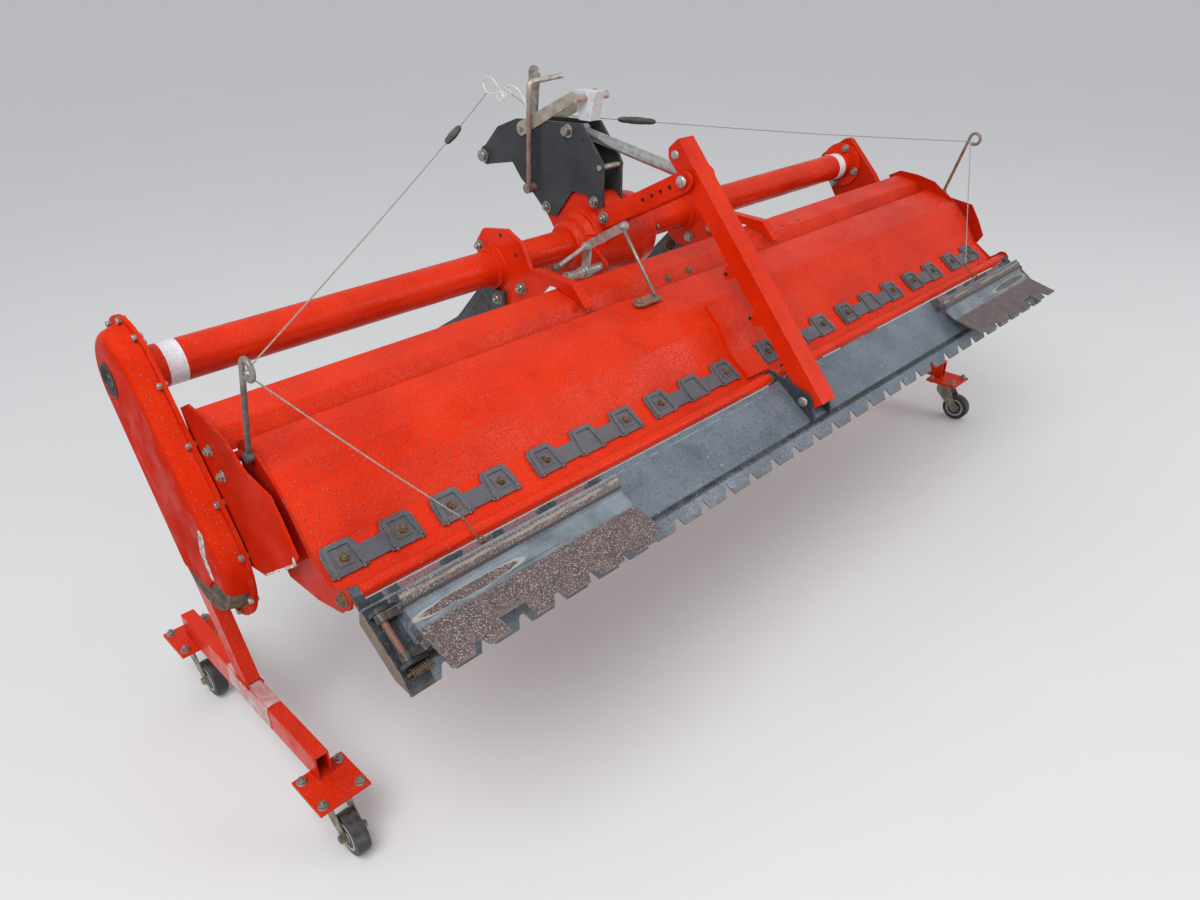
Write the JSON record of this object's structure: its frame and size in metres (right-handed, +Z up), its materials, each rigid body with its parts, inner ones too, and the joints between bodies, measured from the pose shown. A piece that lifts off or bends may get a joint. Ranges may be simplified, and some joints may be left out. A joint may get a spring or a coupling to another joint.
{
  "type": "drive harrow",
  "caption": "Tractor-mounted paddy drive harrow with chain case, tined rotor, apron, hinged leveler with folding extensions and a caster stand.",
  "frame": {"origin": "on the floor below the middle of the machine's overall box", "axes": "+X to the right seen from behind, +Y forward to the tractor, +Z up"},
  "size_m": [2.193, 1.0419, 1.052],
  "materials": {
    "red_paint": "glossy orange-red enamel",
    "red_paint_worn": "orange-red enamel worn to primer and steel at the edges",
    "dark_steel": "dark painted steel, dusty",
    "bare_steel": "bare steel with mud and rust film",
    "rusty_steel": "round bar with a brown rust film",
    "zinc": "zinc plate gone dull",
    "leveler_grey": "blue-grey painted steel with mud stains",
    "muddy_steel": "dark steel speckled with dried mud",
    "tyre_black": "black caster tread",
    "rubber_black": "black rubber",
    "retainer_grey": "grey painted strips",
    "mud_brown": "dark steel under brown mud"
  },
  "bodies": {
    "frame": {"beam": "red_paint", "gearbox": "red_paint", "mast_plates": "dark_steel", "mast_pins": "zinc", "mast_lever": "rusty_steel", "mast_strap": "zinc", "mast_tongue": "zinc", "cover_brackets": "red_paint", "lower_links": "dark_steel", "chain_case": "red_paint_worn", "chain_case_skid": "mud_brown", "side_plate_right": "red_paint_worn", "shields": "red_paint_worn", "top_cover": "red_paint", "link_plates": "red_paint", "strut": "zinc", "depth_linkage": "zinc", "stand_left": "red_paint", "stand_right": "red_paint"},
    "rotor": {"rotor": "mud_brown"},
    "input_shaft": {"input_shaft": "bare_steel"},
    "apron": {"apron": "red_paint", "apron_ends": "red_paint_worn", "flap_retainers": "retainer_grey", "guide_rods": "zinc"},
    "leveler": {"leveler": "leveler_grey", "leveler_bracket": "dark_steel", "hinge_brackets": "dark_steel"},
    "extension_left": {"extension_left": "muddy_steel"},
    "extension_right": {"extension_right": "muddy_steel"},
    "arm": {"arm": "red_paint", "arm_plug": "rubber_black"},
    "caster_fork_rear_left": {"caster_fork_rear_left": "zinc"},
    "caster_wheel_rear_left": {"caster_wheel_rear_left": "tyre_black"},
    "caster_fork_front_left": {"caster_fork_front_left": "zinc"},
    "caster_wheel_front_left": {"caster_wheel_front_left": "tyre_black"},
    "caster_fork_rear_right": {"caster_fork_rear_right": "zinc"},
    "caster_wheel_rear_right": {"caster_wheel_rear_right": "tyre_black"},
    "caster_fork_front_right": {"caster_fork_front_right": "zinc"},
    "caster_wheel_front_right": {"caster_wheel_front_right": "tyre_black"}
  },
  "joints": [
    {"name": "rotor_spin", "type": "hinge", "parent": "frame", "child": "rotor", "pos_m": [0, -0.008, 0.452], "axis": [1, 0, 0], "continuous": true},
    {"name": "input_spin", "type": "hinge", "parent": "frame", "child": "input_shaft", "pos_m": [-0.025, 0.365, 0.604], "axis": [0, 1, 0], "continuous": true},
    {"name": "apron_hinge", "type": "hinge", "parent": "frame", "child": "apron", "pos_m": [0, -0.13, 0.656], "axis": [1, 0, 0], "range_deg": [-3, 8]},
    {"name": "leveler_hinge", "type": "hinge", "parent": "apron", "child": "leveler", "pos_m": [0, -0.362, 0.525], "axis": [1, 0, 0], "range_deg": [-21, 8]},
    {"name": "arm_hinge", "type": "hinge", "parent": "frame", "child": "arm", "pos_m": [-0.025, -0.13, 0.875], "axis": [1, 0, 0], "range_deg": [-1.5, 3.5]},
    {"name": "extension_left_fold", "type": "hinge", "parent": "leveler", "child": "extension_left", "pos_m": [-0.992, -0.44014, 0.49631], "axis": [0, -0.807, -0.5906], "range_deg": [0, 180]},
    {"name": "extension_right_fold", "type": "hinge", "parent": "leveler", "child": "extension_right", "pos_m": [0.992, -0.44014, 0.49631], "axis": [0, 0.807, 0.5906], "range_deg": [0, 180]},
    {"name": "swivel_rear_left", "type": "hinge", "parent": "frame", "child": "caster_fork_rear_left", "pos_m": [-1.045, -0.258, 0.104], "axis": [0, 0, 1], "continuous": true},
    {"name": "wheel_rear_left", "type": "hinge", "parent": "caster_fork_rear_left", "child": "caster_wheel_rear_left", "pos_m": [-1.045, -0.3, 0.0375], "axis": [1, 0, 0], "continuous": true},
    {"name": "swivel_front_left", "type": "hinge", "parent": "frame", "child": "caster_fork_front_left", "pos_m": [-1.045, 0.252, 0.104], "axis": [0, 0, 1], "continuous": true},
    {"name": "wheel_front_left", "type": "hinge", "parent": "caster_fork_front_left", "child": "caster_wheel_front_left", "pos_m": [-1.045, 0.21, 0.0375], "axis": [1, 0, 0], "continuous": true},
    {"name": "swivel_rear_right", "type": "hinge", "parent": "frame", "child": "caster_fork_rear_right", "pos_m": [1.058, -0.258, 0.104], "axis": [0, 0, 1], "continuous": true},
    {"name": "wheel_rear_right", "type": "hinge", "parent": "caster_fork_rear_right", "child": "caster_wheel_rear_right", "pos_m": [1.058, -0.3, 0.0375], "axis": [1, 0, 0], "continuous": true},
    {"name": "swivel_front_right", "type": "hinge", "parent": "frame", "child": "caster_fork_front_right", "pos_m": [1.058, 0.252, 0.104], "axis": [0, 0, 1], "continuous": true},
    {"name": "wheel_front_right", "type": "hinge", "parent": "caster_fork_front_right", "child": "caster_wheel_front_right", "pos_m": [1.058, 0.21, 0.0375], "axis": [1, 0, 0], "continuous": true}
  ],
  "couplings": [
    {"joint": "input_spin", "follows": "rotor_spin", "ratio": 2.4},
    {"joint": "leveler_hinge", "follows": "apron_hinge", "ratio": -2.514},
    {"joint": "arm_hinge", "follows": "apron_hinge", "ratio": 0.31}
  ]
}
